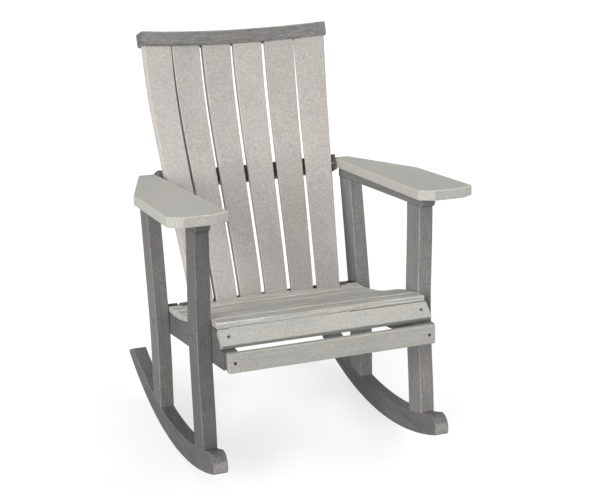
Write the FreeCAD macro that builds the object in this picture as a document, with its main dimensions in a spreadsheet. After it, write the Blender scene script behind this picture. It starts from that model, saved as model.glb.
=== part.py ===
import FreeCAD, Part
import math
import os
import Sketcher

# Rocking adirondack chair in recycled plastic boards.
# Frame: millimetres, +Z up, the chair faces -Y, left and right in the names are
# as seen from in front of the chair (left is -X), origin on the floor under the
# middle of the bounding box.
# Every length below was measured in a working frame whose Y = 0 is the lower
# front corner of the front legs; y_shift moves it to the final origin.

V3 = FreeCAD.Vector
doc = FreeCAD.newDocument("RockingChair")
sheet = doc.addObject("Spreadsheet::Sheet", "Sheet")
_row = [0]


def dim(alias, value, note=""):
    _row[0] += 1
    r = _row[0]
    sheet.set("A%d" % r, alias)
    sheet.set("B%d" % r, repr(float(value)))
    sheet.setAlias("B%d" % r, alias)
    if note:
        sheet.set("C%d" % r, note)


# ---- boards
dim("leg_thick", 38.1, "frame boards, across X")
dim("leg_inner", 281.0, "inner face of the legs, |X|")
dim("rail_thick", 38.1)
dim("arm_thick", 26.5)
dim("back_thick", 21.0, "back slats")
dim("seat_thick", 16.0, "seat slats")
dim("apron_up_thick", 20.0)
dim("apron_low_thick", 19.0)
dim("round_edge", 2.5, "edge rounding of the frame boards")
dim("round_slat", 3.0, "edge rounding of the slats")
dim("round_arm", 3.0, "edge rounding of the arms")
dim("round_cap", 5.0, "edge rounding of the cap")
dim("y_shift", -295.0)
dim("lean", 3.1, "degrees the chair leans back about the centre of its rockers")
# ---- rockers
dim("rock_rad", 1010.1, "radius of the running edge")
dim("rock_mid_high", 1003.6, "Z of its centre in the working frame")
dim("rock_mid", 300.6, "Y of the lowest point")
dim("rock_top_rad", 1005.0, "radius of the upper edge")
dim("rock_top_mid", 308.0)
dim("rock_top_low", 50.0, "Z of the upper edge at its lowest")
dim("rock_front_low", -87.0)
dim("rock_front_high", -91.0)
dim("rock_rear_low", 745.0)
dim("rock_rear_high", 682.0)
dim("rock_nose", 31.0, "rounding of the upper front corner")
dim("rock_toe", 7.0)
dim("rock_tail", 6.0)
# ---- arms and cleats
dim("arm_zero", 712.2, "Z of the arm's top at Y = 0")
dim("arm_slope", 0.075)
dim("arm_front", -51.6)
dim("arm_rear", 568.4)
dim("arm_out", 399.9)
dim("arm_out_rear", 313.5)
dim("arm_in_front", 249.5)
dim("arm_in_rear", 266.5)
dim("arm_chamfer_out", 33.0)
dim("arm_chamfer_in", 34.5)
dim("arm_chamfer_len", 24.0)
dim("arm_taper_from", 285.0)
dim("cleat_high", 29.0, "vertical height of the cleat")
dim("cleat_front", 13.0)
dim("cleat_rear", 560.0)
dim("cleat_round", 10.0)
# ---- back
dim("recline", 20.42, "degrees from upright")
dim("back_y", 466.2, "front of the middle of the back at Z = back_z")
dim("back_z", 430.0)
dim("curv_low", 0.00152, "1/radius of the back at slat_low")
dim("curv_high", 0.00118, "1/radius of the back at slat_high")
dim("slat_low", -165.0, "lower end of the back slats, along the recline")
dim("slat_high", 610.5)
dim("slat_wide_low", 61.0)
dim("slat_wide_high", 84.2)
dim("back_a_low", 37.2)
dim("back_b_low", 109.8)
dim("back_c_low", 181.8)
dim("back_a_high", 46.1)
dim("back_b_high", 138.8)
dim("back_c_high", 224.8)
dim("cap_thick", 40.0)
dim("cap_deep", 45.0)
dim("cap_over", 8.0, "overhang of the cap in front of the slats")
dim("cap_half", 278.0, "at its rear edge")
dim("cap_splay", 5.0, "how much shorter its front edge is, each end")
dim("mid_low", 219.5)
dim("mid_high", 265.0)
dim("mid_half", 265.3)
dim("mid_deep", 38.1)
dim("low_low", -150.0)
dim("low_high", -101.0)
dim("low_half", 242.9)
dim("low_deep", 38.1)
# ---- seat
dim("rail_low_zero", 319.0, "Z of the rail's lower edge at Y = 0")
dim("rail_low_slope", 0.1487)
dim("rail_end", 470.0)
dim("rail_rear_top", 322.0)
dim("seat_half", 279.6)
dim("apron_wide", 49.0, "lower apron")
dim("apron_up_wide", 47.0, "upper apron")
dim("apron_up_half", 280.3)
dim("apron_low_half", 275.2)
dim("apron_up_y", -39.59)
dim("apron_up_z", 402.48)
dim("apron_up_tilt", 42.1)
dim("apron_low_y", -88.4)
dim("apron_low_z", 351.0)
dim("apron_low_tilt", 4.0)
# ---- fasteners
dim("screw_shank", 4.2)
dim("screw_head", 8.6)
dim("bolt_shank", 7.9)
dim("bolt_head", 12.5)
dim("nut_wide", 12.7)
dim("washer_wide", 19.0)
# Upper surface of the seat at the joints between slats, from the nose back.
SEAT = [(-16.0, 430.7), (33.0, 425.0), (90.0, 413.6), (146.0, 397.6), (202.0, 374.8),
        (258.0, 358.4), (314.5, 344.6), (372.0, 334.4), (432.0, 331.8)]
SEAT_GAP = 4.0
for _i in range(8):
    dim("seat_wide_%s" % "abcdefgh"[_i],
        math.hypot(SEAT[_i + 1][0] - SEAT[_i][0], SEAT[_i + 1][1] - SEAT[_i][1]) - SEAT_GAP)
doc.recompute()


def g(alias):
    return float(sheet.get(alias))


YS = g("y_shift")
LEG_IN = g("leg_inner")
LEG = g("leg_thick")
NODES = []


def plane(body, role):
    for f in body.Origin.OriginFeatures:
        if f.Role == role:
            return f
    raise RuntimeError(role)


def new_body(label):
    b = doc.addObject("PartDesign::Body", label)
    b.Label = label
    return b


def new_sketch(body, name, role):
    sk = body.newObject("Sketcher::SketchObject", name)
    sk.AttachmentSupport = [(plane(body, role), "")]
    sk.MapMode = "FlatFace"
    return sk


def seg(sk, a, c):
    return sk.addGeometry(Part.LineSegment(V3(a[0], a[1], 0), V3(c[0], c[1], 0)))


def polygon(sk, pts):
    """Closed polygon whose corners are held by coordinates; pts = [(x, y)],
    each a number or a pair of number and sheet expression."""
    vals = [[c[0] if isinstance(c, tuple) else float(c) for c in p] for p in pts]
    n = len(vals)
    ids = [seg(sk, vals[i], vals[(i + 1) % n]) for i in range(n)]
    for i in range(n):
        sk.addConstraint(Sketcher.Constraint("Coincident", ids[i], 2, ids[(i + 1) % n], 1))
    for i in range(n):
        for k, kind in ((0, "DistanceX"), (1, "DistanceY")):
            v = vals[i][k]
            if abs(v) < 1e-6:
                continue
            c = sk.addConstraint(Sketcher.Constraint(kind, -1, 1, ids[i], 1, v))
            if isinstance(pts[i][k], tuple):
                sk.setExpression("Constraints[%d]" % c, pts[i][k][1])
    return ids


def spline(sk, pts):
    c = Part.BSplineCurve()
    c.interpolate([V3(p[0], p[1], 0) for p in pts])
    return sk.addGeometry(c)


def pad(body, sk, name, length, midplane=False, down=False):
    p = body.newObject("PartDesign::Pad", name)
    p.Profile = sk
    p.Length = 10
    if isinstance(length, str):
        p.setExpression("Length", length)
    else:
        p.Length = length
    if midplane:
        p.SideType = "Symmetric"
    if down:
        p.Reversed = True
    body.Tip = p
    doc.recompute()
    return p


def long_edges(feature, test):
    names = []
    for i, e in enumerate(feature.Shape.Edges):
        if test(e):
            names.append("Edge%d" % (i + 1))
    return names


def fillet(body, base, name, radius, test):
    f = body.newObject("PartDesign::Fillet", name)
    f.Base = (base, long_edges(base, test))
    f.Radius = 1
    f.setExpression("Radius", radius)
    body.Tip = f
    doc.recompute()
    if not ok(f):
        raise RuntimeError("fillet " + name)
    return f


def ok(o):
    if any(s in ("Invalid", "Error") for s in o.State):
        return False
    s = o.Shape
    return (not s.isNull()) and s.isValid() and s.Volume > 0


def near(p, q, tol=0.6):
    return math.hypot(p[0] - q[0], p[1] - q[1]) < tol


def at_side(x, tol=0.05):
    """Edges that lie in the plane X = x or X = -x of the body."""
    def t(e):
        bb = e.BoundBox
        return abs(bb.XMax - bb.XMin) < tol and any(abs(bb.XMax - v) < tol for v in x)
    return t


def register(label, obj):
    obj.Label = label
    NODES.append((label, obj))
    return obj


# ------------------------------------------------------------ shared curves
def z_run(y):
    r = g("rock_rad")
    return g("rock_mid_high") - math.sqrt(r * r - (y - g("rock_mid")) ** 2)


def z_up(y):
    r = g("rock_top_rad")
    return g("rock_top_low") + r - math.sqrt(r * r - (y - g("rock_top_mid")) ** 2)


def arm_top(y):
    return g("arm_zero") - g("arm_slope") * y


ARM_ANGLE = math.atan(g("arm_slope"))


def arm_under(y):
    return arm_top(y) - g("arm_thick") / math.cos(ARM_ANGLE)


def cleat_under(y):
    return arm_under(y) - g("cleat_high")


TH = math.radians(g("recline"))
VDIR = V3(0, math.sin(TH), math.cos(TH))       # up along the back
WDIR = V3(0, -math.cos(TH), math.sin(TH))      # out of the back, to the front


def radius_at(v):
    lo, hi = g("slat_low"), g("slat_high")
    c = g("curv_low") + (g("curv_high") - g("curv_low")) * (v - lo) / (hi - lo)
    return 1.0 / c


def curve_w(u, v):
    r = radius_at(v)
    return r - math.sqrt(r * r - u * u)


BOW = Part.BSplineCurve()
_bow = [(-165, -2.0), (0, 0.0), (150, -7.0), (300, -14.0), (420, -16.0), (520, -11.0), (610, 0.5)]
BOW.interpolate([V3(a, b, 0) for a, b in _bow])


def bow(v):
    """How far the slats are bent back at height v along the recline."""
    lo, hi = BOW.FirstParameter, BOW.LastParameter
    for _ in range(50):
        m = (lo + hi) / 2
        if BOW.value(m).x < v:
            lo = m
        else:
            hi = m
    return BOW.value((lo + hi) / 2).y


def back_point(u, v, w):
    return V3(u, g("back_y"), g("back_z")) + VDIR * v + WDIR * w + V3(0, YS, 0)


def frame_placement(origin, ex, ey, ez):
    m = FreeCAD.Matrix(ex.x, ey.x, ez.x, origin.x,
                       ex.y, ey.y, ez.y, origin.y,
                       ex.z, ey.z, ez.z, origin.z, 0, 0, 0, 1)
    return FreeCAD.Placement(m)


def side_place(body, side, inner, thick):
    """Body padded symmetrically about X = 0 moves to its side of the chair."""
    body.Placement = FreeCAD.Placement(V3(side * (inner + thick / 2.0), YS, 0), FreeCAD.Rotation())


# ------------------------------------------------------------ rockers
def make_rocker(label, side):
    b = new_body(label)
    sk = new_sketch(b, label + "_profile", "YZ_Plane")
    r1, m1 = g("rock_rad"), g("rock_mid")
    r2, m2 = g("rock_top_rad"), g("rock_top_mid")
    a = (g("rock_front_low"), z_run(g("rock_front_low")))
    c = (g("rock_rear_low"), z_run(g("rock_rear_low")))
    d = (g("rock_rear_high"), z_up(g("rock_rear_high")))
    e = (g("rock_front_high"), z_up(g("rock_front_high")))
    mid1 = (m1, z_run(m1))
    mid2 = (m2, z_up(m2))
    arc1 = Part.Arc(V3(a[0], a[1], 0), V3(mid1[0], mid1[1], 0), V3(c[0], c[1], 0))
    i1 = sk.addGeometry(arc1)
    i2 = seg(sk, c, d)
    arc2 = Part.Arc(V3(d[0], d[1], 0), V3(mid2[0], mid2[1], 0), V3(e[0], e[1], 0))
    i3 = sk.addGeometry(arc2)
    i4 = seg(sk, e, a)
    n1 = sk.addConstraint(Sketcher.Constraint("Radius", i1, r1))
    sk.setExpression("Constraints[%d]" % n1, "Sheet.rock_rad")
    n2 = sk.addConstraint(Sketcher.Constraint("Radius", i3, r2))
    sk.setExpression("Constraints[%d]" % n2, "Sheet.rock_top_rad")
    p = pad(b, sk, label + "_board", "Sheet.leg_thick", midplane=True)

    def corner(pt):
        def t(ed):
            bb = ed.BoundBox
            return (bb.XMax - bb.XMin) > 20 and near((bb.YMin, bb.ZMin), pt, 1.5) and (bb.YMax - bb.YMin) < 0.1
        return t
    f = fillet(b, p, label + "_nose", "Sheet.rock_nose", corner(e))
    f = fillet(b, f, label + "_toe", "Sheet.rock_toe", corner(a))
    f = fillet(b, f, label + "_tail_low", "Sheet.rock_tail", corner(c))
    f = fillet(b, f, label + "_tail_high", "Sheet.rock_tail", corner(d))
    h = LEG / 2
    f = fillet(b, f, label + "_edges", "Sheet.round_edge", at_side((h, -h)))
    side_place(b, side, LEG_IN, LEG)
    return b


# ------------------------------------------------------------ legs
FRONT_LEG_F = [(3.8, 180), (14.0, 260), (22.5, 340), (26.5, 420), (25.7, 500), (25.1, 580)]
FRONT_LEG_B = [(79.5, 180), (89.0, 260), (98.0, 340), (102.2, 420), (101.3, 500), (100.7, 580)]
REAR_LEG_F = [(396.5, 160), (404.5, 260), (419.0, 340), (435.0, 420), (452.0, 500), (469.5, 580)]
REAR_LEG_B = [(472.2, 160), (480.2, 260), (495.2, 340), (511.7, 420), (528.7, 500), (546.2, 580)]


def make_leg(label, side, front, back, f0, b0, f1, b1):
    b = new_body(label)
    sk = new_sketch(b, label + "_profile", "YZ_Plane")
    fr = [(f0, z_up(f0))] + front + [(f1, cleat_under(f1))]
    bk = [(b0, z_up(b0))] + back + [(b1, cleat_under(b1))]
    ym = (f0 + b0) / 2.0
    spline(sk, fr)
    seg(sk, fr[-1], bk[-1])
    spline(sk, bk[::-1])
    sk.addGeometry(Part.Arc(V3(bk[0][0], bk[0][1], 0), V3(ym, z_up(ym), 0), V3(fr[0][0], fr[0][1], 0)))
    p = pad(b, sk, label + "_board", "Sheet.leg_thick", midplane=True)
    h = LEG / 2

    def t(e):
        bb = e.BoundBox
        return at_side((h, -h))(e) and (bb.ZMax - bb.ZMin) > 200
    fillet(b, p, label + "_edges", "Sheet.round_edge", t)
    side_place(b, side, LEG_IN, LEG)
    return b


# ------------------------------------------------------------ cleats and arms
def make_cleat(label, side):
    b = new_body(label)
    sk = new_sketch(b, label + "_profile", "YZ_Plane")
    y0, y1 = g("cleat_front"), g("cleat_rear")
    pts = [(y0, cleat_under(y0)), (y1, cleat_under(y1)), (y1, arm_under(y1)), (y0, arm_under(y0))]
    ids = [seg(sk, pts[i], pts[(i + 1) % 4]) for i in range(4)]
    p = pad(b, sk, label + "_board", "Sheet.leg_thick", midplane=True)

    def low_front(e):
        bb = e.BoundBox
        return (bb.XMax - bb.XMin) > 20 and near((bb.YMin, bb.ZMin), pts[0], 0.5)
    f = fillet(b, p, label + "_lip", "Sheet.cleat_round", low_front)
    h = LEG / 2

    def t(e):
        bb = e.BoundBox
        return at_side((h, -h))(e) and not (bb.ZMin > 630 and bb.YMax - bb.YMin > 400 and abs(e.Vertexes[0].Point.z - arm_under(e.Vertexes[0].Point.y)) < 0.3)
    fillet(b, f, label + "_edges", "Sheet.round_edge", t)
    side_place(b, side, LEG_IN, LEG)
    return b


def make_arm(label, side):
    b = new_body(label)
    sk = new_sketch(b, label + "_outline", "XY_Plane")
    k = 1.0 / math.cos(ARM_ANGLE)

    def X(value, expr):
        return (side * value, ("%s" if side > 0 else "-(%s)") % expr)

    def along(hi):
        return ((g(hi) - g("arm_front")) * k, "(Sheet.%s - Sheet.arm_front) * %.9f" % (hi, k))
    cham = (g("arm_chamfer_len"), "Sheet.arm_chamfer_len")
    out = X(g("arm_out"), "Sheet.arm_out")
    pts = [(X(g("arm_in_front") + g("arm_chamfer_in"), "Sheet.arm_in_front + Sheet.arm_chamfer_in"), 0.0),
           (X(g("arm_out") - g("arm_chamfer_out"), "Sheet.arm_out - Sheet.arm_chamfer_out"), 0.0),
           (out, cham),
           (out, along("arm_taper_from")),
           (X(g("arm_out_rear"), "Sheet.arm_out_rear"), along("arm_rear")),
           (X(g("arm_in_rear"), "Sheet.arm_in_rear"), along("arm_rear")),
           (X(g("arm_in_front"), "Sheet.arm_in_front"), cham)]
    polygon(sk, pts)
    p = pad(b, sk, label + "_board", "Sheet.arm_thick", down=True)
    f = fillet(b, p, label + "_edges", "Sheet.round_arm", lambda e: True)
    b.Placement = FreeCAD.Placement(V3(0, g("arm_front") + YS, arm_top(g("arm_front"))),
                                    FreeCAD.Rotation(V3(1, 0, 0), -math.degrees(ARM_ANGLE)))
    return b


# ------------------------------------------------------------ seat
def seat_seg(i):
    a, c = SEAT[i], SEAT[i + 1]
    d = V3(0, c[0] - a[0], c[1] - a[1])
    L = d.Length
    d.normalize()
    n = V3(0, -d.z, d.y)
    return V3(0, a[0], a[1]), d, n, L


def rail_top_points():
    """The seat curve moved down by the slat thickness."""
    t = g("seat_thick")
    lines = []
    for i in range(8):
        o, d, n, L = seat_seg(i)
        lines.append((o - n * t, d, L))
    pts = [(lines[0][0].y, lines[0][0].z)]
    for i in range(7):
        o1, d1, _ = lines[i]
        o2, d2, _ = lines[i + 1]
        den = d1.y * d2.z - d1.z * d2.y
        s = ((o2.y - o1.y) * d2.z - (o2.z - o1.z) * d2.y) / den
        q = o1 + d1 * s
        pts.append((q.y, q.z))
    o, d, L = lines[7]
    s = (419.5 - o.y) / d.y
    q = o + d * s
    pts.append((q.y, q.z))
    return pts


def make_seat_rail(label, side):
    b = new_body(label)
    sk = new_sketch(b, label + "_profile", "YZ_Plane")

    def low(y):
        return g("rail_low_zero") - g("rail_low_slope") * y
    # back faces of the two aprons
    a = math.radians(g("apron_low_tilt"))
    n = (-math.cos(a), -math.sin(a))
    bl = (g("apron_low_y") - n[0] * g("apron_low_thick"), g("apron_low_z") - n[1] * g("apron_low_thick"))
    u = (-math.sin(a), math.cos(a))

    def on_low(z):
        s = (z - bl[1]) / u[1]
        return (bl[0] + u[0] * s, z)
    c = math.radians(g("apron_up_tilt"))
    d = (math.cos(c), math.sin(c))
    m = (-math.sin(c), math.cos(c))
    bu = (g("apron_up_y") - m[0] * g("apron_up_thick"), g("apron_up_z") - m[1] * g("apron_up_thick"))
    foot = (bu[0] - d[0] * g("apron_up_wide") / 2, bu[1] - d[1] * g("apron_up_wide") / 2)
    top = rail_top_points()
    # where the slanted face meets the line of the seat
    o = top[0]
    e = (top[1][0] - top[0][0], top[1][1] - top[0][1])
    den = d[0] * e[1] - d[1] * e[0]
    s = ((o[0] - foot[0]) * e[1] - (o[1] - foot[1]) * e[0]) / den
    peak = (foot[0] + d[0] * s, foot[1] + d[1] * s)
    ledge = on_low(foot[1])
    y0 = bl[0]
    for _ in range(20):
        y0 = on_low(low(y0))[0]
    pts = [(y0, low(y0)), (g("rail_end"), low(g("rail_end"))), (g("rail_end"), g("rail_rear_top")),
           (419.5, g("rail_rear_top"))]
    pts += [q for q in top[::-1] if q[0] > peak[0] + 1]
    pts += [peak, foot, ledge]
    n_ = len(pts)
    for i in range(n_):
        seg(sk, pts[i], pts[(i + 1) % n_])
    p = pad(b, sk, label + "_board", "Sheet.rail_thick", midplane=True)
    side_place(b, side, LEG_IN - g("rail_thick"), g("rail_thick"))
    return b


def make_board(label, length, wide, thick, rnd):
    """A plain board: length along local X, width along local Y, face at Z = 0."""
    b = new_body(label)
    sk = new_sketch(b, label + "_section", "YZ_Plane")
    w = g(wide) / 2
    lo, hi = (-w, "-Sheet.%s / 2" % wide), (w, "Sheet.%s / 2" % wide)
    t = (-g(thick), "-Sheet.%s" % thick)
    polygon(sk, [(lo, 0.0), (hi, 0.0), (hi, t), (lo, t)])
    p = pad(b, sk, label + "_board", length, midplane=True)
    fillet(b, p, label + "_edges", rnd, lambda e: True)
    return b


def make_seat_slat(i):
    label = "seat_slat_%d" % (i + 1)
    o, d, n, L = seat_seg(i)
    b = make_board(label, "2 * Sheet.seat_half", "seat_wide_%s" % "abcdefgh"[i], "seat_thick", "Sheet.round_slat")
    c = o + d * (L / 2)
    b.Placement = frame_placement(V3(0, c.y + YS, c.z), V3(1, 0, 0), V3(0, d.y, d.z), V3(0, n.y, n.z))
    return b


def make_apron(label, half, wide, thick, y, z, tilt):
    b = make_board(label, "2 * Sheet.%s" % half, wide, thick, "Sheet.round_slat")
    # face at local Z = 0 looks forward and up
    if tilt == "apron_up_tilt":
        c = math.radians(g(tilt))
        d = V3(0, math.cos(c), math.sin(c))
        n = V3(0, -math.sin(c), math.cos(c))
    else:
        a = math.radians(g(tilt))
        d = V3(0, math.sin(a), math.cos(a))
        n = V3(0, -math.cos(a), math.sin(a))
    b.Placement = frame_placement(V3(0, g(y) + YS, g(z)), V3(1, 0, 0), d, n)
    return b


# ------------------------------------------------------------ back slats
SLATS = []


def slat_frame(side, key):
    lo, hi = g("slat_low"), g("slat_high")
    ub, ut = side * g("back_%s_low" % key), side * g("back_%s_high" % key)
    hb, ht = g("slat_wide_low") / 2, g("slat_wide_high") / 2

    def edge(u, v):
        return back_point(u, v, curve_w(u, v) + bow(v))
    corners = [edge(ub - hb, lo), edge(ub + hb, lo), edge(ut + ht, hi), edge(ut - ht, hi)]
    ob = (corners[0] + corners[1]) * 0.5
    ot = (corners[2] + corners[3]) * 0.5
    ey = ot - ob
    L = ey.Length
    ey.normalize()
    ex = (corners[1] - corners[0]).normalize() + (corners[2] - corners[3]).normalize()
    ex = ex - ey * ex.dot(ey)
    ex.normalize()
    ez = ex.cross(ey)
    return ob, ex, ey, ez, L, corners


def make_back_slat(i, side, key):
    label = "back_slat_%d" % (i + 1)
    ob, ex, ey, ez, L, corners = slat_frame(side, key)
    lo, hi = g("slat_low"), g("slat_high")
    b0, b1 = bow(lo), bow(hi)
    t = g("back_thick")

    def off(s):
        v = lo + (hi - lo) * s / L
        return bow(min(max(v, lo), hi)) - (b0 + (b1 - b0) * s / L)
    ss = [L * k / 8.0 for k in range(9)]
    front = [(s, off(s)) for s in ss]
    # run 12 mm past both ends, to be trimmed by the outline
    front = [(-12.0, front[0][1] + (front[0][1] - front[1][1]) * 12.0 / ss[1])] + front + \
            [(L + 12.0, front[-1][1] + (front[-1][1] - front[-2][1]) * 12.0 / ss[1])]
    back = [(a, c - t) for a, c in front]
    b = new_body(label)
    sk = new_sketch(b, label + "_profile", "YZ_Plane")
    spline(sk, front)
    seg(sk, front[-1], back[-1])
    spline(sk, back[::-1])
    seg(sk, back[0], front[0])
    p = pad(b, sk, label + "_strip", "Sheet.slat_wide_high + 30", midplane=True)
    # outline in the slat's own plane
    q = []
    for c in corners:
        r = c - ob
        q.append((r.dot(ex), r.dot(ey)))
    so = new_sketch(b, label + "_outline", "XY_Plane")
    big = [(-90, -30), (90, -30), (90, L + 30), (-90, L + 30)]
    for ring in (big, q):
        for k in range(4):
            seg(so, ring[k], ring[(k + 1) % 4])
    v0 = p.Shape.Volume
    pk = b.newObject("PartDesign::Pocket", label + "_trim")
    pk.Profile = so
    pk.Length = 200
    pk.SideType = "Symmetric"
    b.Tip = pk
    doc.recompute()
    if not ok(pk) or pk.Shape.Volume > 0.93 * v0:
        raise RuntimeError("trim " + label)
    fillet(b, pk, label + "_edges", "Sheet.round_slat", lambda e: e.Length > 300)
    b.Placement = frame_placement(ob, ex, ey, ez)
    SLATS.append((label, ob, ex, ey, ez, L, side, key))
    return b


# ------------------------------------------------------------ curved rails
def make_curved(label, v_top, height, half, w_mid, radius, depth, tilt=0.0, rnd="Sheet.round_edge", splay=0.0):
    """Board with a concave front edge: the section lies across the back and
    the board is as high as height, measured down the back from v_top."""
    b = new_body(label)
    sk = new_sketch(b, label + "_plan", "XY_Plane")
    rb = radius + depth

    def w(u, r):
        return r - math.sqrt(r * r - u * u)
    fh = w(half - splay, radius)
    bh = w(half, rb)
    a, c = V3(splay - half, fh, 0), V3(half - splay, fh, 0)
    d, e = V3(half, bh - depth, 0), V3(-half, bh - depth, 0)
    i1 = sk.addGeometry(Part.Arc(a, V3(0, 0, 0), c))
    i2 = sk.addGeometry(Part.LineSegment(c, d))
    i3 = sk.addGeometry(Part.Arc(d, V3(0, -depth, 0), e))
    i4 = sk.addGeometry(Part.LineSegment(e, a))
    p = pad(b, sk, label + "_board", height)
    fillet(b, p, label + "_edges", rnd, lambda x: True)
    t = TH + tilt
    vd = V3(0, math.sin(t), math.cos(t))
    wd = V3(0, -math.cos(t), math.sin(t))
    o = back_point(0, v_top, w_mid)
    b.Placement = frame_placement(o, V3(1, 0, 0), wd, vd * -1)
    return b


# ------------------------------------------------------------ build the boards
rockers = {}
for name, side in (("left", -1), ("right", 1)):
    register("rocker_" + name, make_rocker("rocker_" + name, side))
for name, side in (("left", -1), ("right", 1)):
    register("front_leg_" + name, make_leg("front_leg_" + name, side, FRONT_LEG_F, FRONT_LEG_B, -3.3, 70.7, 26.5, 102.2))
for name, side in (("left", -1), ("right", 1)):
    register("rear_leg_" + name, make_leg("rear_leg_" + name, side, REAR_LEG_F, REAR_LEG_B, 392.5, 468.5, 477.8, 553.8))
for name, side in (("left", -1), ("right", 1)):
    register("arm_cleat_" + name, make_cleat("arm_cleat_" + name, side))
for name, side in (("left", -1), ("right", 1)):
    register("arm_" + name, make_arm("arm_" + name, side))
for name, side in (("left", -1), ("right", 1)):
    register("seat_rail_" + name, make_seat_rail("seat_rail_" + name, side))
for i in range(8):
    register("seat_slat_%d" % (i + 1), make_seat_slat(i))
register("apron_upper", make_apron("apron_upper", "apron_up_half", "apron_up_wide", "apron_up_thick", "apron_up_y", "apron_up_z", "apron_up_tilt"))
register("apron_lower", make_apron("apron_lower", "apron_low_half", "apron_wide", "apron_low_thick", "apron_low_y", "apron_low_z", "apron_low_tilt"))
order = [(-1, "c"), (-1, "b"), (-1, "a"), (1, "a"), (1, "b"), (1, "c")]
for i, (side, key) in enumerate(order):
    register("back_slat_%d" % (i + 1), make_back_slat(i, side, key))

T = g("back_thick")
vm = (g("mid_low") + g("mid_high")) / 2
slope = (bow(vm + 5) - bow(vm - 5)) / 10.0
mid_tilt = -math.atan(slope)
r_cap = radius_at(g("slat_high"))
register("top_cap", make_curved("top_cap", g("slat_high") + g("cap_thick"), "Sheet.cap_thick", g("cap_half"),
                                g("cap_over") + bow(g("slat_high")), r_cap - g("cap_over"), g("cap_deep"),
                                rnd="Sheet.round_cap", splay=g("cap_splay")))
r_mid = radius_at(vm) + T + 0.4
half_h = (g("mid_high") - g("mid_low")) / 2
register("middle_back_rail", make_curved("middle_back_rail", vm + half_h, "Sheet.mid_high - Sheet.mid_low", g("mid_half"),
                                         bow(vm) - T - 0.4 + slope * half_h, r_mid, g("mid_deep"), tilt=mid_tilt))
vl = (g("low_low") + g("low_high")) / 2
r_low = radius_at(vl) + T + 0.4
register("lower_back_rail", make_curved("lower_back_rail", g("low_high"), "Sheet.low_high - Sheet.low_low", g("low_half"),
                                        min(bow(g("low_high")), bow(g("low_low"))) - T - 0.4, r_low, g("low_deep")))

# ------------------------------------------------------------ fasteners
def turned(profile, origin, axis):
    """Solid of revolution; profile = [(radius, depth)] with depth along axis."""
    pts = [V3(0, 0, profile[0][1])] + [V3(r, 0, z) for r, z in profile] + [V3(0, 0, profile[-1][1])]
    clean = [pts[0]]
    for p in pts[1:]:
        if (p - clean[-1]).Length > 1e-6:
            clean.append(p)
    wire = Part.makePolygon(clean + [clean[0]])
    face = Part.Face(wire)
    s = face.revolve(V3(0, 0, 0), V3(0, 0, 1), 360)
    if s.ShapeType != "Solid":
        s = Part.Solid(s.Shells[0]) if s.Shells else s
    z = V3(axis)
    z.normalize()
    s.Placement = FreeCAD.Placement(origin, FreeCAD.Rotation(V3(0, 0, 1), z))
    return s


def screw(origin, axis, length, head=None, shank=None, recess=True):
    """Flat-head screw; origin at the middle of the head's face."""
    hr = (head or g("screw_head")) / 2
    sr = (shank or g("screw_shank")) / 2
    body = turned([(hr, 0), (hr, 0.6), (sr, hr - sr + 0.6), (sr, length - 4), (0.6, length)], V3(0, 0, 0), V3(0, 0, 1))
    if recess:
        for a in (0, 90):
            x = Part.makeBox(hr * 1.15, 1.0, 1.3, V3(-hr * 0.575, -0.5, -0.01))
            x.rotate(V3(0, 0, 0), V3(0, 0, 1), a)
            body = body.cut(x)
    z = V3(axis)
    z.normalize()
    body.Placement = FreeCAD.Placement(origin, FreeCAD.Rotation(V3(0, 0, 1), z))
    return body


def screw_room(origin, axis, length, above=0.0, head=None, shank=None):
    hr = (head or g("screw_head")) / 2
    sr = (shank or g("screw_shank")) / 2
    return turned([(hr, -above), (hr, 0.6), (sr, hr - sr + 0.6), (sr, length - 4), (0.6, length)], origin, axis)


CUTS = {}


def cut_for(nodes, shape):
    for n in nodes:
        CUTS.setdefault(n, []).append(shape)


GROUPS = {}


def add(group, shape):
    GROUPS.setdefault(group, []).append(shape)


Y = V3(0, YS, 0)
# seat slats: one screw at each end
for i in range(8):
    o, d, n, L = seat_seg(i)
    c = o + d * (L / 2 if i < 7 else 19.0)
    for side, name in ((-1, "left"), (1, "right")):
        p = V3(side * (LEG_IN - g("rail_thick") / 2), c.y + YS, c.z) - n * 0.25
        add("seat_slat_screws", screw(p, n * -1, 31.0))
        cut_for(["seat_slat_%d" % (i + 1), "seat_rail_" + name], screw_room(p, n * -1, 31.0, 1.0))
# aprons
c = math.radians(g("apron_up_tilt"))
n_up = V3(0, -math.sin(c), math.cos(c))
a = math.radians(g("apron_low_tilt"))
n_lo = V3(0, -math.cos(a), math.sin(a))
for side, name in ((-1, "left"), (1, "right")):
    x = side * 258.0
    p = V3(x, g("apron_up_y") + YS, g("apron_up_z")) - n_up * 0.3
    add("apron_screws", screw(p, n_up * -1, 36.0))
    cut_for(["apron_upper", "seat_rail_" + name], screw_room(p, n_up * -1, 36.0, 1.0))
    p = V3(x, g("apron_low_y") + YS, g("apron_low_z")) - n_lo * 0.3
    add("apron_screws", screw(p, n_lo * -1, 40.0))
    cut_for(["apron_lower", "seat_rail_" + name], screw_room(p, n_lo * -1, 40.0, 1.0))

# back slats to the two back rails, from behind
def slat_point(entry, v, lateral):
    label, ob, ex, ey, ez, L, side, key = entry
    lo, hi = g("slat_low"), g("slat_high")
    s = L * (v - lo) / (hi - lo)
    b0, b1 = bow(lo), bow(hi)
    off = bow(v) - (b0 + (b1 - b0) * s / L)
    return ob + ey * s + ex * lateral + ez * (off - T)


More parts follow.
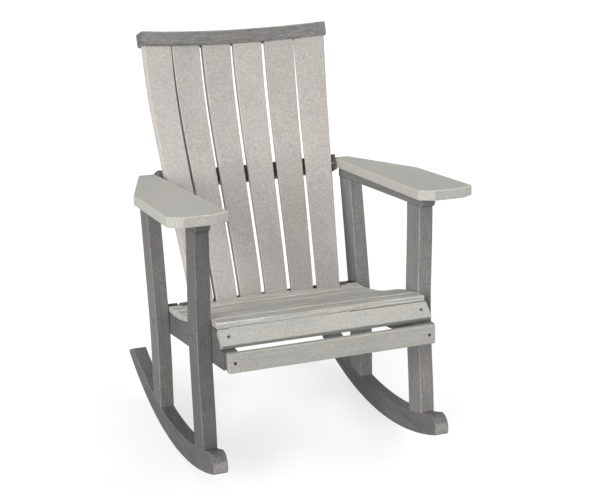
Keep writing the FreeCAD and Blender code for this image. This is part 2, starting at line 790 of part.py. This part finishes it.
for entry in SLATS:
    for v, rail, depth, group in ((vm, "middle_back_rail", g("mid_deep"), "middle_rail_screws"),
                                  (vl, "lower_back_rail", g("low_deep"), "lower_rail_screws")):
        lat = 20.0 if v == vm else 15.0
        for s_ in (-1, 1):
            q = slat_point(entry, v, s_ * lat)
            ez = entry[4]
            # start just inside the back of the rail
            p = q - ez * (depth - 0.6)
            add(group, screw(p, ez, depth + 12.5))
            cut_for([entry[0], rail], screw_room(p, ez, depth + 12.5, 6.0))
# cap onto the slats, from above
for entry in SLATS:
    label, ob, ex, ey, ez, L, side, key = entry
    for s_ in (-1, 1):
        q = slat_point(entry, g("slat_high"), s_ * 24.0) + ez * (T / 2)
        rel = q - back_point(0, g("slat_high"), 0)
        q = q + VDIR * (g("cap_thick") - rel.dot(VDIR))
        p = q - VDIR * 0.3
        add("cap_screws", screw(p, VDIR * -1, 70.0))
        cut_for([label, "top_cap"], screw_room(p, VDIR * -1, 70.0, 1.0))

# bolts through legs and seat rails
X_IN = LEG_IN - g("rail_thick")
for side, name in ((-1, "left"), (1, "right")):
    for y, z, leg in ((70.0, 372.0, "front_leg_"), (445.7, 288.5, "rear_leg_")):
        o = V3(side * (LEG_IN + LEG), y + YS, z)
        ax = V3(-side, 0, 0)
        r, hr = g("bolt_shank") / 2, g("bolt_head") / 2
        grip = LEG + g("rail_thick")
        dome = [(hr * math.sin(k), -4.4 * math.cos(k)) for k in [math.pi / 2 * j / 8 for j in range(9)]]
        add("leg_bolts", turned(dome + [(r, 0.0), (r, grip + 11.5), (r - 0.8, grip + 12.5)], o, ax))
        cut_for([leg + name, "seat_rail_" + name], turned([(r, -1), (r, grip + 13)], o, ax))
        w = turned([(r, grip), (g("washer_wide") / 2, grip), (g("washer_wide") / 2, grip + 1.6), (r, grip + 1.6)], V3(0, 0, 0), V3(0, 0, 1)) \
            if False else Part.makeCylinder(g("washer_wide") / 2, 1.6, V3(0, 0, grip), V3(0, 0, 1)).cut(
                Part.makeCylinder(r, 10, V3(0, 0, grip - 2), V3(0, 0, 1)))
        rot = FreeCAD.Placement(o, FreeCAD.Rotation(V3(0, 0, 1), ax))
        w.Placement = rot
        add("leg_washers", w)
        hexa = [V3(g("nut_wide") / math.sqrt(3) * math.cos(math.radians(60 * k)),
                   g("nut_wide") / math.sqrt(3) * math.sin(math.radians(60 * k)), grip + 1.6) for k in range(6)]
        nut = Part.Face(Part.makePolygon(hexa + [hexa[0]])).extrude(V3(0, 0, 6.8))
        nut = nut.cut(Part.makeCylinder(r, 20, V3(0, 0, grip - 2), V3(0, 0, 1)))
        ball = Part.makeCone(g("nut_wide") / 2 + 3.4, g("nut_wide") / 2 + 0.2, 3.4, V3(0, 0, grip + 5.0), V3(0, 0, 1))
        keep = Part.makeCylinder(g("nut_wide"), 3.4, V3(0, 0, grip + 1.6), V3(0, 0, 1)).fuse(ball)
        nut = nut.common(keep)
        nut.Placement = rot
        add("leg_nuts", nut)

# rockers into the legs, from below, heads sunk in counterbores
for side, name in ((-1, "left"), (1, "right")):
    x = side * (LEG_IN + LEG / 2)
    for ys, leg in (((14.0, 50.0), "front_leg_"), ((410.0, 447.0), "rear_leg_")):
        for y in ys:
            p = V3(x, y + YS, z_run(y) + 18.0)
            up = V3(0, 0, 1)
            add("rocker_screws", screw(p, up, 75.0, 10.0, 5.0))
            cut_for(["rocker_" + name, leg + name], screw_room(p, up, 75.0, 40.0, 10.0, 5.0))
    # cleats into the leg tops, from above, under the arms
    for ys, leg in (((45.0, 77.0), "front_leg_"), ((497.0, 530.0), "rear_leg_")):
        for y in ys:
            p = V3(x, y + YS, arm_under(y) - 0.7)
            dn = V3(0, 0, -1)
            add("cleat_screws", screw(p, dn, 72.0, 10.0, 5.0))
            cut_for(["arm_cleat_" + name, leg + name], screw_room(p, dn, 72.0, 2.0, 10.0, 5.0))
    # arms, from below through the cleats
    for y in (150.0, 290.0, 430.0):
        p = V3(x, y + YS, cleat_under(y) + 0.8)
        up = V3(0, 0, 1)
        add("arm_screws", screw(p, up, 44.0))
        cut_for(["arm_cleat_" + name, "arm_" + name], screw_room(p, up, 44.0, 3.0))
    # arm ends into the middle back rail
    for y in (541.5, 557.0):
        t_ = (y - g("arm_taper_from")) / (g("arm_rear") - g("arm_taper_from"))
        xe = g("arm_out") + (g("arm_out_rear") - g("arm_out")) * t_
        p = V3(side * (xe + 1.0), y + YS, arm_top(y) - 12.9)
        ax = V3(-side, 0, 0)
        add("arm_end_screws", screw(p, ax, 82.0, 9.6, 5.0))
        cut_for(["arm_" + name, "middle_back_rail"], screw_room(p, ax, 82.0, 3.0, 9.6, 5.0))
    # seat rails into the lower back rail
    for v in (vl - 17.0, vl - 4.0):
        q = back_point(side * LEG_IN, v, curve_w(g("low_half"), vl) - T - 17.0)
        p = q - V3(side * 0.4, 0, 0)
        ax = V3(-side, 0, 0)
        add("rail_end_screws", screw(p, ax, 76.0, 9.6, 5.0))
        cut_for(["seat_rail_" + name, "lower_back_rail"], screw_room(p, ax, 76.0, 1.0, 9.6, 5.0))

# ------------------------------------------------------------ the last seat slat goes around the back
def curved_tool(v_lo, v_hi, half, w_off, radius):
    """Everything behind a concave surface, as a thick block."""
    pts_a = V3(-half, radius - math.sqrt(radius ** 2 - half ** 2), 0)
    pts_b = V3(half, radius - math.sqrt(radius ** 2 - half ** 2), 0)
    arc = Part.Arc(pts_a, V3(0, 0, 0), pts_b).toShape()
    l1 = Part.makeLine(pts_b, V3(half, -120, 0))
    l2 = Part.makeLine(V3(half, -120, 0), V3(-half, -120, 0))
    l3 = Part.makeLine(V3(-half, -120, 0), pts_a)
    f = Part.Face(Part.Wire([arc, l1, l2, l3]))
    s = f.extrude(V3(0, 0, v_hi - v_lo))
    s.Placement = frame_placement(back_point(0, v_hi, w_off), V3(1, 0, 0), WDIR, VDIR * -1)
    return s


v8 = -108.0
r8 = radius_at(v8)
half_slats = g("back_c_low") + g("slat_wide_low") / 2 + 6.0
CUTS.setdefault("seat_slat_8", [])
CUTS["seat_slat_8"].append(curved_tool(-170, -60, half_slats, 1.6, r8))
CUTS["seat_slat_8"].append(curved_tool(-170, -60, g("low_half") + 0.6, -T + 0.9, r8 + T))
for s_ in (-1, 1):
    CUTS["seat_slat_8"].append(Part.makeBox(60, 60, 80, V3(g("low_half") if s_ > 0 else -g("low_half") - 60, 418.0 + YS, 290)))

# ------------------------------------------------------------ holes for the fasteners
final = []
for label, obj in NODES:
    tools = CUTS.get(label)
    if not tools:
        final.append((label, obj))
        continue
    tool = doc.addObject("Part::Feature", label + "_room")
    tool.Shape = Part.makeCompound(tools)
    cut = doc.addObject("Part::Cut", label + "_drilled")
    cut.Base = obj
    cut.Tool = tool
    obj.Label = label + "_blank"
    cut.Label = label
    final.append((label, cut))
doc.recompute()
for group in sorted(GROUPS):
    f = doc.addObject("Part::Feature", group)
    f.Shape = Part.makeCompound(GROUPS[group])
    f.Label = group
    f.Placement = FreeCAD.Placement()
    final.append((group, f))
doc.recompute()

# ------------------------------------------------------------ the pose it rests in
# Turning about the centre of the running edge keeps the rockers on the floor.
_t = math.radians(g("lean"))
_c = V3(0, g("rock_mid") + YS, g("rock_mid_high"))
_up = V3(0, 0, g("rock_rad") - g("rock_mid_high"))
turn = FreeCAD.Placement(_up, FreeCAD.Rotation(), V3(0, 0, 0)).multiply(
    FreeCAD.Placement(V3(0, 0, 0), FreeCAD.Rotation(V3(1, 0, 0), -g("lean")), _c))
for label, o in final:
    o.Placement = turn.multiply(o.Placement)
doc.recompute()

# ------------------------------------------------------------ checks and files
bad = []
for o in doc.Objects:
    if any(s in ("Invalid", "Error") for s in o.State):
        bad.append("%s %s" % (o.Name, o.State))
for label, o in final:
    s = o.Shape
    if s.isNull() or not s.isValid() or s.Volume <= 0 or len(s.Solids) < 1:
        bad.append("shape of %s" % label)
    if not label.endswith(("screws", "bolts", "nuts", "washers")) and len(s.Solids) != 1:
        bad.append("%s has %d solids" % (label, len(s.Solids)))
if bad:
    raise SystemExit("; ".join(bad))

os.makedirs("parts", exist_ok=True)
box = FreeCAD.BoundBox()
vol = 0.0
mom = V3(0, 0, 0)
for label, o in final:
    s = o.Shape
    box.add(s.optimalBoundingBox(True, False))
    for sol in s.Solids:
        vol += sol.Volume
        mom += sol.CenterOfMass * sol.Volume
    s.exportStep("parts/%s.step" % label)
print("pieces", len(final), "solids", sum(len(o.Shape.Solids) for _, o in final))
print("box", [round(x, 2) for x in (box.XMin, box.XMax, box.YMin, box.YMax, box.ZMin, box.ZMax)])
print("volume l", round(vol / 1e6, 2), "centre of volume", [round(x / vol, 2) for x in mom], "rocker low point y", round(g("rock_mid") + YS, 2))
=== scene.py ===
import math

import bpy
import numpy as np
from mathutils import Matrix, Vector

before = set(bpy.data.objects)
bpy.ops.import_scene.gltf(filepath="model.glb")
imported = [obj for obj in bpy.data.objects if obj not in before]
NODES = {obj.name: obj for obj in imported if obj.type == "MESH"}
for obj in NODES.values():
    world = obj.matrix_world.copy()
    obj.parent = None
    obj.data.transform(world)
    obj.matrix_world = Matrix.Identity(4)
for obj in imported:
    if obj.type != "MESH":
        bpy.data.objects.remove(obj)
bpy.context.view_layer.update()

scene = bpy.context.scene


# ---------------------------------------------------------------- helpers
def srgb(r, g, b):
    """0-255 screen values to the shader's linear ones."""
    out = []
    for c in (r, g, b):
        c = c / 255.0
        out.append(c / 12.92 if c <= 0.04045 else ((c + 0.055) / 1.055) ** 2.4)
    return out


def points_of(obj):
    me = obj.data
    co = np.empty(len(me.vertices) * 3)
    me.vertices.foreach_get("co", co)
    return co.reshape(-1, 3)


def board_axes(obj, hint=None):
    """Rotation whose X runs along the board, Y across its width and Z through
    its thickness, worked out from the mesh."""
    p = points_of(obj)
    c = p.mean(0)
    u, s, vt = np.linalg.svd((p - c)[:: max(1, len(p) // 4000)], full_matrices=False)
    x, y = vt[0], vt[1]
    if hint is not None:
        h = np.array(hint, float)
        x = h / np.linalg.norm(h)
        y = vt[1] - x * vt[1].dot(x)
        if np.linalg.norm(y) < 0.3:
            y = vt[2] - x * vt[2].dot(x)
        y = y / np.linalg.norm(y)
    # the same sense for every board, so that both sides of the chair agree
    if x[int(np.argmax(np.abs(x)))] < 0:
        x = -x
    z = np.cross(x, y)
    m = Matrix((x, y, z))
    return m, Vector(c)


class Tree:
    def __init__(self, name):
        self.mat = bpy.data.materials.new(name)
        self.mat.use_nodes = True
        self.t = self.mat.node_tree
        self.t.nodes.clear()
        self.out = self.t.nodes.new("ShaderNodeOutputMaterial")
        self.bsdf = self.t.nodes.new("ShaderNodeBsdfPrincipled")
        self.link(self.bsdf.outputs[0], self.out.inputs[0])

    def link(self, a, b):
        self.t.links.new(a, b)

    def node(self, kind, **kw):
        n = self.t.nodes.new(kind)
        for k, v in kw.items():
            setattr(n, k, v)
        return n

    def put(self, socket, value):
        if hasattr(value, "is_output") or isinstance(value, bpy.types.NodeSocket):
            self.link(value, socket)
        else:
            socket.default_value = value

    def math(self, op, a, b=None, c=None, clamp=False):
        n = self.node("ShaderNodeMath", operation=op, use_clamp=clamp)
        self.put(n.inputs[0], a)
        if b is not None:
            self.put(n.inputs[1], b)
        if c is not None:
            self.put(n.inputs[2], c)
        return n.outputs[0]

    def ramp(self, value, lo, hi, out_lo=0.0, out_hi=1.0, smooth=True):
        n = self.node("ShaderNodeMapRange")
        n.interpolation_type = "SMOOTHSTEP" if smooth else "LINEAR"
        self.put(n.inputs["Value"], value)
        n.inputs["From Min"].default_value = lo
        n.inputs["From Max"].default_value = hi
        n.inputs["To Min"].default_value = out_lo
        n.inputs["To Max"].default_value = out_hi
        return n.outputs[0]

    def noise(self, vector, scale, detail=2.0, rough=0.5, distortion=0.0):
        n = self.node("ShaderNodeTexNoise")
        n.noise_dimensions = "3D"
        self.put(n.inputs["Vector"], vector)
        n.inputs["Scale"].default_value = scale
        n.inputs["Detail"].default_value = detail
        n.inputs["Roughness"].default_value = rough
        n.inputs["Distortion"].default_value = distortion
        return n.outputs[0]

    def mapping(self, vector, scale=(1, 1, 1), loc=(0, 0, 0)):
        n = self.node("ShaderNodeMapping")
        self.put(n.inputs["Vector"], vector)
        n.inputs["Scale"].default_value = scale
        n.inputs["Location"].default_value = loc
        return n.outputs[0]

    def mix(self, fac, a, b, blend="MIX"):
        n = self.node("ShaderNodeMix", data_type="RGBA", blend_type=blend)
        self.put(n.inputs[0], fac)
        self.put(n.inputs[6], a if not isinstance(a, (list, tuple)) else (*a[:3], 1.0))
        self.put(n.inputs[7], b if not isinstance(b, (list, tuple)) else (*b[:3], 1.0))
        return n.outputs[2]

    def gain(self, colour, value):
        """Colour times a value."""
        n = self.node("ShaderNodeVectorMath", operation="SCALE")
        self.put(n.inputs[0], colour)
        self.put(n.inputs["Scale"], value)
        return n.outputs[0]

    def bump(self, height, distance, strength=1.0, normal=None):
        n = self.node("ShaderNodeBump")
        n.inputs["Distance"].default_value = distance
        n.inputs["Strength"].default_value = strength
        self.put(n.inputs["Height"], height)
        if normal is not None:
            self.link(normal, n.inputs["Normal"])
        return n.outputs[0]


def board_space(t, axes, seed):
    """Object coordinates turned so that X runs along the board."""
    tc = t.node("ShaderNodeTexCoord")
    rot = t.node("ShaderNodeMapping", vector_type="POINT")
    t.link(tc.outputs["Object"], rot.inputs["Vector"])
    rot.inputs["Rotation"].default_value = axes.to_euler("XYZ")
    rot.inputs["Location"].default_value = (seed * 1.37 % 9.1, seed * 2.11 % 7.3, seed * 0.73 % 5.9)
    return rot.outputs[0]


def end_mask(t, axes):
    """1 on the sawn ends of the board, 0 on its long faces."""
    g = t.node("ShaderNodeNewGeometry")
    d = t.node("ShaderNodeVectorMath", operation="DOT_PRODUCT")
    t.link(g.outputs["True Normal"], d.inputs[0])
    d.inputs[1].default_value = tuple(axes[0])
    a = t.math("ABSOLUTE", d.outputs["Value"])
    return t.ramp(a, 0.80, 0.97)


def edge_mask(t, axes):
    """1 on the rounded long edges, 0 on the flat faces, from how far the
    surface turns away from the board's thickness direction."""
    g = t.node("ShaderNodeNewGeometry")
    d = t.node("ShaderNodeVectorMath", operation="DOT_PRODUCT")
    t.link(g.outputs["Normal"], d.inputs[0])
    d.inputs[1].default_value = tuple(axes[2])
    a = t.math("ABSOLUTE", d.outputs["Value"])
    b = t.math("SQRT", t.math("MAXIMUM", t.math("SUBTRACT", 1.0, t.math("MULTIPLY", a, a)), 0.0))
    return t.ramp(t.math("MINIMUM", a, b), 0.30, 0.62)


# how strongly each kind of variation shows: fine stipple, mottling, drawn
# grain, clouds, slow drift, painted highlight on the rounded edges, tone of the sawn ends (negative darkens them;
# positive, on the legs and rockers, lightens them as a painted highlight)
FEEL = {
    "arm": (0.14, 0.34, 0.06, 0.08, 0.06, 0.16, 0.00),
    "back": (0.16, 0.44, 0.08, 0.16, 0.14, 0.10, -0.06),
    "apron": (0.14, 0.34, 0.16, 0.12, 0.08, 0.14, -0.04),
    "seat": (0.16, 0.44, 1.05, 0.20, 0.14, 0.12, -0.12),
    "leg": (0.22, 0.55, 0.45, 0.20, 0.16, 0.75, 0.10),
    "rocker": (0.22, 0.45, 1.00, 0.26, 0.18, 0.70, 1.15),
    "cap": (0.22, 0.45, 0.95, 0.18, 0.10, 0.75, -0.15),
}


def poly_board(name, axes, seed, tone, light, feel):
    """Extruded recycled-plastic board: a fine stipple and a soft mottling, drawn
    grain along the board, slow clouds of tone, a painted highlight that lightens
    the rounded edges, and slightly porous sawn ends, lightened on the legs and rockers as a painted highlight."""
    t = Tree(name)
    p = board_space(t, axes, seed)
    a_f, a_m, a_g, a_c, a_w, a_edge_highlight, a_end_tone_and_highlight = FEEL[feel]
    fine = t.noise(p, 560.0, 3.0, 0.62)
    mid = t.noise(t.mapping(p, (0.85, 1.0, 1.0)), 205.0, 2.0, 0.60, 0.2)
    grain = t.noise(t.mapping(p, (0.035, 1.0, 1.0)), 230.0, 4.0, 0.66, 0.25)
    cloud = t.noise(t.mapping(p, (0.6, 1.0, 1.0)), 17.0, 3.0, 0.55, 0.6)
    wide = t.noise(p, 4.5, 1.0, 0.5)
    ends = end_mask(t, axes)
    edge = edge_mask(t, axes)

    def swing(v, amount):
        return t.math("MULTIPLY_ADD", t.math("SUBTRACT", v, 0.5), amount * 2.0, 1.0)
    gain = swing(fine, a_f)
    for v, amount in ((mid, a_m), (grain, a_g), (cloud, a_c), (wide, a_w)):
        gain = t.math("MULTIPLY", gain, swing(v, amount))
    # per-board brightness: partly real tone, partly painted light and shade
    gain = t.math("MULTIPLY", gain, tone[3])
    warm = t.ramp(cloud, 0.36, 0.66)
    colour = t.mix(warm, tone[0], tone[1])
    # light specks of ground-in colourant
    vor = t.node("ShaderNodeTexVoronoi")
    vor.feature = "F1"
    t.link(p, vor.inputs["Vector"])
    vor.inputs["Scale"].default_value = 330.0
    speck = t.ramp(vor.outputs["Distance"], 0.16, 0.30, 1.0, 0.0)
    pick = t.math("GREATER_THAN", t.noise(p, 140.0, 1.0), 0.56)
    speck = t.math("MULTIPLY", speck, pick)
    colour = t.mix(t.math("MULTIPLY", speck, 0.35 if light else 0.30), colour, tone[2])
    # painted highlight along the rounded edges, strongest on the dark boards
    painted_edge_highlight = t.math("MULTIPLY", edge, t.ramp(mid, 0.25, 0.75, 0.7, 1.15))
    gain = t.math("MULTIPLY", gain, t.math("MULTIPLY_ADD", painted_edge_highlight, a_edge_highlight, 1.0))
    # sawn ends: fine pores, and the end tone from FEEL; where that tone is positive (legs, rockers) it is a painted
    # highlight on the ends, strongest on the rocker noses
    pores = t.noise(p, 900.0, 2.0, 0.7)
    pore = t.ramp(pores, 0.30, 0.44, 1.0, 0.0)
    gain = t.math("MULTIPLY", gain, t.math("ADD", 1.0, t.math("MULTIPLY", ends, t.math("MULTIPLY_ADD", pore, -0.25, a_end_tone_and_highlight))))
    t.link(t.gain(colour, gain), t.bsdf.inputs["Base Color"])
    rough = t.ramp(mid, 0.3, 0.7, 0.46 if light else 0.36, 0.60 if light else 0.52)
    rough = t.math("SUBTRACT", rough, t.math("MULTIPLY", edge, 0.08), clamp=True)
    t.link(rough, t.bsdf.inputs["Roughness"])
    t.bsdf.inputs["IOR"].default_value = 1.5
    t.bsdf.inputs["Specular IOR Level"].default_value = 0.5
    h = t.math("ADD", t.math("MULTIPLY", fine, 0.35), t.math("ADD", t.math("MULTIPLY", mid, 0.75), t.math("MULTIPLY", grain, 0.4 + a_g)))
    h = t.math("SUBTRACT", h, t.math("MULTIPLY", t.math("MULTIPLY", ends, pore), 1.2))
    t.link(t.bump(h, 0.00035, 0.9), t.bsdf.inputs["Normal"])
    return t.mat


def steel(name, base, rough, dark=0.25, seed=1.0):
    """Plain stainless fastener: brushed in fine rings, dulled by weather."""
    t = Tree(name)
    tc = t.node("ShaderNodeTexCoord")
    p = t.mapping(tc.outputs["Object"], (1, 1, 1), (seed, seed * 2, seed * 3))
    fine = t.noise(p, 2600.0, 3.0, 0.6)
    blot = t.noise(p, 320.0, 3.0, 0.6)
    colour = t.mix(t.ramp(blot, 0.35, 0.7), base, [c * (1.0 - dark) for c in base])
    t.link(t.gain(colour, t.math("MULTIPLY_ADD", t.math("SUBTRACT", fine, 0.5), 0.3, 1.0)), t.bsdf.inputs["Base Color"])
    t.bsdf.inputs["Metallic"].default_value = 1.0
    t.link(t.ramp(blot, 0.3, 0.7, rough - 0.08, rough + 0.12), t.bsdf.inputs["Roughness"])
    t.link(t.bump(fine, 0.00008, 0.6), t.bsdf.inputs["Normal"])
    return t.mat


def assign(node, mat):
    obj = NODES[node]
    if not obj.data.materials:
        obj.data.materials.append(mat)
    for s in obj.material_slots:
        s.material = mat


# ---------------------------------------------------------------- finishes
# tones: base, warmer drift, speck colour, brightness of this board (partly the board's own tone, partly painted light
# and shade: lighter or darker as the light fell more or less on it)
DOVE = (srgb(167, 166, 161), srgb(166, 164, 157), srgb(200, 199, 194))
TAUPE = (srgb(163, 159, 155), srgb(160, 155, 150), srgb(198, 195, 190))
SLATE = (srgb(96, 96, 95), srgb(94, 92, 89), srgb(136, 136, 133))

X, Y, Z = (1, 0, 0), (0, 1, 0), (0, 0, 1)
plan = []
for i in range(1, 9):
    plan.append(("seat_slat_%d" % i, DOVE, X, True, (0.93, 1.0, 0.96, 1.02, 0.97, 1.0, 0.98, 1.01)[i - 1], "seat"))
for i in range(1, 7):
    plan.append(("back_slat_%d" % i, TAUPE, None, True, (1.09, 0.98, 0.92, 0.99, 0.90, 0.94)[i - 1], "back"))
plan += [("apron_upper", DOVE, X, True, 0.83, "apron"), ("apron_lower", DOVE, X, True, 0.76, "apron"),
         ("arm_left", DOVE, None, True, 0.970, "arm"), ("arm_right", DOVE, None, True, 0.941, "arm"),
         ("top_cap", SLATE, X, False, 1.25, "cap"), ("middle_back_rail", SLATE, X, False, 0.97, "cap"),
         ("lower_back_rail", SLATE, X, False, 0.98, "cap"),
         ("front_leg_left", SLATE, None, False, 0.84, "leg"), ("front_leg_right", SLATE, None, False, 1.42, "leg"),
         ("rear_leg_left", SLATE, None, False, 1.06, "leg"), ("rear_leg_right", SLATE, None, False, 1.45, "leg"),
         ("seat_rail_left", SLATE, None, False, 0.92, "leg"), ("seat_rail_right", SLATE, None, False, 0.95, "leg"),
         ("arm_cleat_left", SLATE, None, False, 0.98, "leg"), ("arm_cleat_right", SLATE, None, False, 1.2, "leg"),
         ("rocker_left", SLATE, None, False, 0.84, "rocker"), ("rocker_right", SLATE, None, False, 0.88, "rocker")]

# each board's brightness carries painted light and shade as well as its own tone, e.g. the right legs far lighter than
# the left ones
for seed, (node, tone, hint, light, tone_and_painted_light, feel) in enumerate(plan):
    axes, centre = board_axes(NODES[node], hint)
    assign(node, poly_board("board_" + node, axes, seed + 1.0, (*tone, tone_and_painted_light), light, feel))

bright = steel("stainless_bright", srgb(196, 195, 191), 0.34, 0.2, 1.0)
# darker steel for the apron screws: painted shade standing in for the shadow in their holes
shaded_steel = steel("stainless_painted_shade", srgb(120, 118, 114), 0.45, 0.35, 2.0)
for node in ("leg_bolts", "leg_washers", "leg_nuts", "rail_end_screws", "arm_end_screws", "cap_screws",
             "seat_slat_screws", "middle_rail_screws", "lower_rail_screws", "rocker_screws", "cleat_screws", "arm_screws"):
    assign(node, bright)
assign("apron_screws", shaded_steel)

# ---------------------------------------------------------------- floor
me = bpy.data.meshes.new("studio_floor")
S = 40.0
me.from_pydata([(-S, -S, 0), (S, -S, 0), (S, S, 0), (-S, S, 0)], [], [(0, 1, 2, 3)])
floor = bpy.data.objects.new("studio_floor", me)
scene.collection.objects.link(floor)
ft = Tree("floor_paper")
ftc = ft.node("ShaderNodeTexCoord")
fn = ft.noise(ftc.outputs["Object"], 3.0, 4.0, 0.6)
# an evenly lit white sweep: it shows brighter than the light it throws back
flp = ft.node("ShaderNodeLightPath")
ft.link(ft.mix(ft.ramp(fn, 0.3, 0.7), (0.40, 0.40, 0.40), (0.385, 0.385, 0.385)), ft.bsdf.inputs["Base Color"])
ft.bsdf.inputs["Emission Color"].default_value = (1.0, 1.0, 1.0, 1.0)
ft.link(ft.math("MULTIPLY", flp.outputs["Is Camera Ray"], 0.63), ft.bsdf.inputs["Emission Strength"])
ft.bsdf.inputs["Roughness"].default_value = 0.9
ft.bsdf.inputs["Specular IOR Level"].default_value = 0.0
me.materials.append(ft.mat)

# ---------------------------------------------------------------- light
# The world lights softly at WORLD; seen directly it is the white of the studio.
WORLD = 0.20
world = bpy.data.worlds.new("studio")
scene.world = world
world.use_nodes = True
wt = world.node_tree
wt.nodes.clear()
w_out = wt.nodes.new("ShaderNodeOutputWorld")
w_mix = wt.nodes.new("ShaderNodeMixShader")
w_lp = wt.nodes.new("ShaderNodeLightPath")
w_a = wt.nodes.new("ShaderNodeBackground")
w_b = wt.nodes.new("ShaderNodeBackground")
w_a.inputs["Color"].default_value = (1.0, 1.0, 1.0, 1.0)
w_a.inputs["Strength"].default_value = WORLD
w_b.inputs["Color"].default_value = (1.0, 1.0, 1.0, 1.0)
w_b.inputs["Strength"].default_value = 1.0
wt.links.new(w_lp.outputs["Is Camera Ray"], w_mix.inputs[0])
wt.links.new(w_a.outputs[0], w_mix.inputs[1])
wt.links.new(w_b.outputs[0], w_mix.inputs[2])
wt.links.new(w_mix.outputs[0], w_out.inputs[0])


def sun(name, direction, strength, angle):
    d = bpy.data.lights.new(name, "SUN")
    d.energy = strength
    d.angle = math.radians(angle)
    o = bpy.data.objects.new(name, d)
    o.rotation_mode = "QUATERNION"
    o.rotation_quaternion = Vector(direction).to_track_quat("-Z", "Y")
    o.location = (0, 0, 5)
    scene.collection.objects.link(o)
    return o


def area(name, loc, target, size, power, colour=(1, 1, 1)):
    d = bpy.data.lights.new(name, "AREA")
    d.shape = "RECTANGLE"
    d.size, d.size_y = size
    d.energy = power
    d.color = colour
    o = bpy.data.objects.new(name, d)
    o.location = loc
    o.rotation_mode = "QUATERNION"
    o.rotation_quaternion = (Vector(target) - Vector(loc)).to_track_quat("-Z", "Y")
    scene.collection.objects.link(o)
    return o


def toward(az, el):
    """Direction a light shines in when it stands at azimuth az (0 in front,
    positive to the right) and elevation el."""
    a, e = math.radians(az), math.radians(el)
    return (-math.sin(a) * math.cos(e), math.cos(a) * math.cos(e), -math.sin(e))


sun("key_soft", toward(-54, 17), 4.4, 38.0)
bpy.data.objects["key_soft"].visible_glossy = False
sun("side_soft", toward(84, 20), 3.0, 60.0)
sun("overhead_soft", toward(10, 82), 0.9, 80.0)
sun("back_soft", toward(172, 8), 1.1, 60)
bpy.data.objects["back_soft"].visible_glossy = False

# ---------------------------------------------------------------- camera
AZ, EL, ROLL = math.radians(-21.5646), math.radians(17.3788), math.radians(0.8572)
FOCAL, CX, CY = 1346.7033, 303.0, 190.0
W, H = 600.0, 500.0
fwd = Vector((-math.sin(AZ) * math.cos(EL), math.cos(AZ) * math.cos(EL), -math.sin(EL)))
right = fwd.cross(Vector((0, 0, 1))).normalized()
up = right.cross(fwd)
r2 = right * math.cos(ROLL) + up * math.sin(ROLL)
u2 = -right * math.sin(ROLL) + up * math.cos(ROLL)
cam_data = bpy.data.cameras.new("camera")
cam_data.sensor_fit = "HORIZONTAL"
cam_data.sensor_width = 36.0
cam_data.lens = FOCAL / W * 36.0
cam_data.shift_x = (W / 2 - CX) / W
cam_data.shift_y = (CY - H / 2) / W
cam_data.clip_start, cam_data.clip_end = 0.05, 200.0
cam = bpy.data.objects.new("camera", cam_data)
m = Matrix((r2, u2, -fwd)).transposed().to_4x4()
m.translation = Vector((-1.197061, -3.216338, 1.739725))
cam.matrix_world = m
scene.collection.objects.link(cam)
scene.camera = cam

scene.view_settings.view_transform = "Standard"
scene.view_settings.look = "None"
scene.view_settings.exposure = 0.0
scene.view_settings.gamma = 1.0
